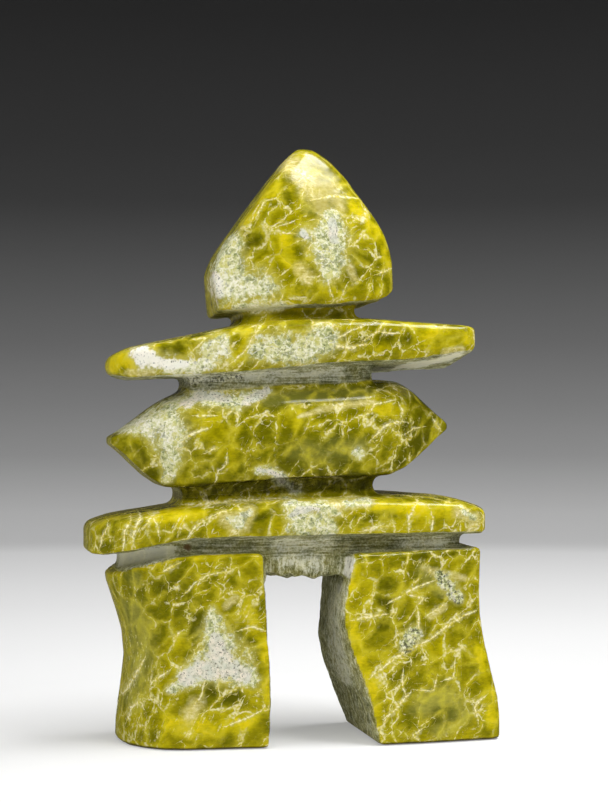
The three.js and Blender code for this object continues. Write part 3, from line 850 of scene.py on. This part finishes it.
    def tone(self):
        """How yellow the plain stone is, from olive at 0 to yellow at 1."""
        tone = self.math("MULTIPLY_ADD", self.noise(self.here, 9, 4, 0.6), 0.76, 0.055)
        cell = self.cell_numbers(self.web, self.CELL)[0]
        tone = self.math("MULTIPLY_ADD", self.centred(cell, 0.24), self.contrast, tone)
        body = self.times(self.ease(self.z, *self.BODY_FOOT), self.ease(self.z, *self.BODY_TOP))
        tone = self.math("MULTIPLY_ADD", body, -0.15, tone)
        tone = self.math("ADD", tone, self.centred(self.fibres, 0.55))
        tone = self.math("ADD", tone, self.ease(self.border, 2.8, 0.0, -0.05, 0.1))
        tone = self.math("ADD", tone, self.zone("yellow", -0.3, 0.8, 0.28))
        # Lighter where the light field is: paler stone, and in places painted light
        tone = self.math("MULTIPLY_ADD", self.light, 0.14, tone)
        # Darker patches, some of them painted shade on the body and under the hips' slab
        tone = self.math("SUBTRACT", tone, self.zone("dark", -0.45, 0.7, 0.3))
        # Painted rim light: lighter and yellower on thin outer edges
        return self.math("MULTIPLY_ADD", self.field("edge"), 0.12, tone)

    def plain(self):
        """Olive to yellow, with paler rims of the cells, milky stone beside the pale patches, and clouds."""
        tone = self.tone()
        # Greyer patches, some of them painted reflection and painted shade
        grey = self.zone("grey", -0.2, 0.8, 0.8)
        body = self.mix(grey, self.ramp(tone, self.OLIVE), self.ramp(tone, self.GREY_OLIVE))
        rim = self.ease(self.ragged, -0.4, 0.5, 0.0, 0.75)
        rim = self.times(rim, self.ease(self.border, 1.9, 0.0))
        body = self.mix(self.times(rim, self.contrast), body, self.CELL_RIM)
        body = self.mix(self.zone("pale", -0.75, 0.1, 0.45), body, self.MILKY)
        level = self.math("MULTIPLY_ADD", self.mottle, 0.5, self.times(self.fibres, 0.5))
        cloud = self.mix(self.zone("grey", -0.2, 0.8, 0.75), self.ramp(level, self.CLOUD), self.GREY_CLOUD)
        return self.mix(self.zone("cream", -0.3, 0.8, 0.75), body, cloud)

    def veined(self, body):
        """The body with its veins, which are palest at their heart."""
        heart = self.ease(self.noise(self.here, 1.1, 3), 0.35, 0.62)
        cover = self.times(self.veins(), self.ease(self.fibres, 0.25, 0.5, 0.55, 0.95))
        return self.mix(cover, body, self.mix(heart, self.VEIN_EDGE, self.VEIN_HEART))

    def pale_cover(self, grain):
        """How much the pale granular stone covers: its placed patches, and a few made up at the back."""
        made_up = self.ease(self.noise(self.here, 30, 2), 0.56, 0.66)
        made_up = self.times(made_up, self.ease(self.y, 2, 14))
        field = self.math("MAXIMUM", self.field("pale"), self.math("MULTIPLY_ADD", made_up, 1.6, -1.0))
        field = self.math("MULTIPLY_ADD", self.ragged, 1.2, field)
        field = self.math("ADD", field, self.centred(grain, 0.3))
        field = self.math("ADD", field, self.centred(self.mottle, 1.5))
        return self.ease(field, -0.15, 0.45)

    def crystals(self, place, grain, sugar):
        """Pale green grains, yellower and darker in clots, with white ridges between them."""
        clots = self.times(self.noise(self.here, 4.5, 4, 0.6), 0.58)
        level = self.math("MULTIPLY_ADD", grain, 0.2, self.math("MULTIPLY_ADD", sugar, 0.44, clots))
        level = self.math("MULTIPLY_ADD", self.light, 0.09, level)
        yellower = self.ease(self.noise(self.here, 4.5, 3), 0.5, 0.62, 0.0, 0.65)
        body = self.mix(yellower, self.ramp(level, self.CRYSTALS), self.YELLOW_CRYSTALS)
        shade = self.ease(self.noise(self.here, 3.6, 4, 0.65), 0.48, 0.36, 0.0, 0.7)
        body = self.mix(shade, body, self.SHADED_CRYSTALS)
        ridge = self.line(self.to_border(place, 3.2), self.ease(self.fibres, 0.4, 0.65, 0.0, 0.3))
        return self.mix(self.times(ridge, 0.6), body, self.CRYSTAL_RIDGE)

    def chalk(self, sugar):
        """The white heart of the pale patches."""
        tint = self.ease(self.noise(self.here, 4, 3), 0.3, 0.7)
        body = self.mix(tint, self.GREEN_CHALK, self.PINK_CHALK)
        body = self.mix(self.ease(sugar, 0.46, 0.66, 0.0, 0.9), body, self.GREY_CHALK)
        return self.mix(self.times(self.light, 0.8), body, self.LIGHT_CHALK)

    def granular(self):
        """How much the pale granular stone covers, how much of it is white, and its colour."""
        place = self.vector("ADD", self.here, self.shift(self.here, 1.2, 0.9))
        grain = self.cell_numbers(place, self.PALE_GRAIN)
        sugar = self.noise(self.here, 1.9, 5, 0.75)
        white = self.ease(self.math("MULTIPLY_ADD", self.ragged, 0.8, self.field("white")), -0.05, 0.4)
        stone = self.mix(white, self.crystals(place, grain[0], sugar), self.chalk(sugar))
        speck = self.ease(self.noise(self.here, 0.9, 3, 0.65), 0.42, 0.36)
        speck = self.times(speck, self.math("MULTIPLY_ADD", white, 0.55, 0.3))
        return self.pale_cover(grain[2]), white, self.mix(speck, stone, self.SPECK)

    def scored(self):
        """The height of the scores of the saw and the rasp, along the grooves and down between the legs."""
        along = self.noise(self.vector("MULTIPLY", self.here, (0.06, 0.3, 1.0)), 0.8, 4, 0.75)
        down = self.noise(self.vector("MULTIPLY", self.here, (0.5, 0.24, 0.14)), 0.6, 4, 0.75)
        upper = self.ease(self.z, *self.GROOVE_FOOT)
        return self.math("MULTIPLY_ADD", upper, self.math("SUBTRACT", along, down), down)

    def dusty(self, body, scores, white):
        """The grey dust that rough stone holds, paler on the crests of its scores."""
        level = self.centred(self.noise(self.here, 0.8, 3, 0.7), 0.5)
        level = self.math("ADD", level, self.zone("dust", -0.5, 0.8, 0.15))
        level = self.math("MULTIPLY_ADD", self.light, 0.22, level)
        level = self.math("MULTIPLY_ADD", scores, 0.85, level)
        level = self.math("MULTIPLY_ADD", self.mottle, 0.3, level)
        chalky = self.times(white, self.ease(scores, 0.3, 0.55, 0.0, 0.9))
        dust = self.mix(chalky, self.ramp(level, self.DUSTY), self.CHALK_DUST)
        return self.mix(0.2, dust, body)

    def soiled_and_sole_shaded(self, body):
        """The body with grit between its grains, the rust spot, and painted shade around the soles."""
        grit = self.ease(self.noise(self.here, 1.3, 4, 0.7), 0.52, 0.42)
        grit = self.times(grit, self.zone("grit", -0.2, 0.6, 0.85))
        body = self.mix(grit, body, self.DARK_GRIT)
        body = self.mix(self.zone("rust", 0.0, 0.6, 0.8), body, self.RUSTY)
        # Painted shade around the soles
        return self.mix(self.ease(self.z, *self.SOLE_SHADE_HEIGHTS, 0.0, 0.85), body, self.SOLE_SHADE)

    def bump(self, cover, raw, scores):
        """The pits between pale grains and the finest scores on raw stone, as a bent normal."""
        pits = self.times(self.mottle, self.math("MULTIPLY_ADD", cover, 0.08, 0.006))
        height = self.math("MULTIPLY_ADD", scores, self.times(raw, 0.5), pits)
        height = self.times(height, MM)
        return self.add("Bump", {"Height": height, "Distance": 1.0, "Strength": 1.0}).outputs[0]

    def finish(self):
        """Joins everything in one shader and returns the material."""
        cover, white, grains = self.granular()
        scores = self.scored()
        raw = self.ease(self.math("MULTIPLY_ADD", self.ragged, 0.12, self.field("raw")), 0.1, 0.75)
        recess_shade = self.times(self.field("recess_shade"), self.ease(self.mottle, 0.35, 0.62, 1.0, 0.6))
        body = self.mix(cover, self.veined(self.plain()), grains)
        # Painted shade in the grooves and the neck, patchy with the mottling
        body = self.mix(recess_shade, body, self.RECESS_SHADE_COLOUR)
        body = self.mix(self.times(raw, 0.92), body, self.dusty(body, scores, white))
        polish = self.math("MULTIPLY_ADD", cover, 0.14, self.ease(self.fibres, 0.3, 0.7, 0.11, 0.2))
        rough = self.math("MULTIPLY_ADD", raw, self.math("SUBTRACT", 0.75, polish), polish)
        inputs = {
            "Base Color": self.soiled_and_sole_shaded(body),
            "Roughness": rough,
            "Normal": self.bump(cover, raw, scores),
            "IOR": 1.54,
            "Specular IOR Level": 0.18,
            "Subsurface Weight": 0.1,
            "Subsurface Radius": (1.0, 0.7, 0.1),
            "Subsurface Scale": 2.5 * MM,
        }
        self.add("OutputMaterial", {"Surface": self.add("BsdfPrincipled", inputs).outputs[0]})
        return self.owner


# Studio

FLOOR_RINGS = (0.0, 0.2, 0.5, 0.8)
FLOOR_RADIUS = 1.15
SWEEP_RADIUS = 0.35
SWEEP_STEP = 6  # degrees
WALL_TOP = 0.62
STUDIO_SIDES = 96

# The way outwards over the floor and up the wall that counts as 1 for the paint
PAINT_REACH = 2.2
# How pale the paint is, by the way: painted shade that darkens it outwards and up the wall, where the
# studio's light falls off
PAINT_AND_SHADE = [(0.25, 0.63), (0.47, 0.71), (0.59, 0.49), (0.66, 0.275), (0.76, 0.13), (0.85, 0.041), (0.95, 0.021)]
# How much the paint glows by itself, by the way: a painted glow, strongest by the stone, that lifts its
# shadows off the floor and lights it a little from below
GLOW = [
    (0.0, 0.3), (0.05, 0.27), (0.09, 0.19), (0.15, 0.165),
    (0.47, 0.13), (0.6, 0.066), (0.71, 0.023), (0.88, 0.0),
]
# The light of the air, from below to above
SKY = [
    (0.42, colour(128, 124, 84)),
    (0.5, colour(108, 103, 78)),
    (0.56, colour(62, 61, 56)),
    (0.8, colour(38)),
]


def greys(stops):
    return [(place, (grey, grey, grey, 1)) for place, grey in stops]


def studio_rings():
    """Radius and height of each ring, from the middle of the floor to the top of the wall."""
    rings = [(radius, 0.0) for radius in FLOOR_RINGS]
    for degrees in range(0, 91, SWEEP_STEP):
        angle = math.radians(degrees)
        rings.append((FLOOR_RADIUS + SWEEP_RADIUS * math.sin(angle), SWEEP_RADIUS * (1 - math.cos(angle))))
    return rings + [(FLOOR_RADIUS + SWEEP_RADIUS, WALL_TOP)]


def lathe(name, rings, sides):
    """A smooth mesh through the rings, turned about the upright axis."""
    turns = [2 * math.pi * i / sides for i in range(sides)]
    points = [(radius * math.cos(turn), radius * math.sin(turn), z) for radius, z in rings for turn in turns]
    faces = []
    for ring in range(len(rings) - 1):
        for side in range(sides):
            low, high, after = ring * sides, (ring + 1) * sides, (side + 1) % sides
            faces.append((low + side, low + after, high + after, high + side))
    mesh = bpy.data.meshes.new(name)
    mesh.from_pydata(points, [], faces)
    mesh.validate()
    mesh.shade_smooth()
    return mesh


def studio_paint():
    """Matt paint with a painted glow, and painted shade that darkens it outwards and with height."""
    n = Nodes(bpy.data.materials.new("studio_paint"))
    place = n.add("TexCoord").outputs["Object"]
    height = n.add("SeparateXYZ", {"Vector": place}).outputs["Z"]
    across = n.vector("MULTIPLY", place, (1, 1, 0))
    radius = n.add("VectorMath", {0: across}, operation="LENGTH").outputs["Value"]
    way = n.math("DIVIDE", n.math("ADD", radius, height), PAINT_REACH)
    shade = n.add("BsdfDiffuse", {"Color": n.ramp(way, greys(PAINT_AND_SHADE))})
    # Painted glow of the floor
    glow = n.add("Emission", {"Color": n.ramp(way, greys(GLOW))})
    both = n.add("AddShader", {0: shade.outputs[0], 1: glow.outputs[0]})
    n.add("OutputMaterial", {"Surface": both.outputs[0]})
    return n.owner


def studio():
    """A round pale floor that curves up into a wall, whose paint darkens with height: painted shade."""
    mesh = lathe("studio", studio_rings(), STUDIO_SIDES)
    mesh.materials.append(studio_paint())
    floor = bpy.data.objects.new("studio", mesh)
    bpy.context.scene.collection.objects.link(floor)
    floor.visible_glossy = False


def area_light(name, place, target, size, power, mirrored=False):
    """A soft light, whose shape shows in the polish only if it is mirrored."""
    data = bpy.data.lights.new(name, "AREA")
    data.shape = "RECTANGLE"
    data.size, data.size_y = size
    data.energy = power
    lamp = bpy.data.objects.new(name, data)
    lamp.location = place
    lamp.rotation_euler = (Vector(target) - Vector(place)).to_track_quat("-Z", "Y").to_euler()
    lamp.visible_camera = False
    lamp.visible_glossy = mirrored
    bpy.context.scene.collection.objects.link(lamp)


def lights():
    """Soft light from above and both sides, and one lamp whose gleam shows on the polish."""
    area_light("overhead", (0.1, -0.45, 1.2), (0, 0, 0.05), (1.3, 1.0), 8)
    area_light("gleam", (0.38, -0.08, 1.1), (0.05, 0, 0.1), (1.0, 0.26), 12, mirrored=True)
    area_light("left", (-2.5, -1.05, 1.2), (0, 0, 0.1), (2.4, 1.4), 68)
    area_light("right", (1.8, -2.0, 1.3), (0, 0, 0.1), (2.0, 1.4), 24)


def air():
    """The light of the studio's air, dim above and warmer from the horizon down."""
    n = Nodes(bpy.data.worlds.new("studio_air"))
    toward = n.add("SeparateXYZ", {"Vector": n.add("TexCoord").outputs["Generated"]}).outputs
    sky = n.ramp(n.math("MULTIPLY_ADD", toward["Z"], 0.5, 0.5), SKY)
    n.add("OutputWorld", {"Surface": n.add("Background", {"Color": sky}).outputs[0]})
    bpy.context.scene.world = n.owner


make_camera()
carving = fine_copy(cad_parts["inukshuk"])
smooth_facets(carving.data)
blunt(carving.data)
work_surface(carving.data, tree_of(carving.data))
carving.data.shade_smooth()
carving.data.materials.append(Stone().finish())
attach(carving, "root")
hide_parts("inukshuk")
studio()
lights()
air()
bpy.context.scene.view_settings.view_transform = "Standard"
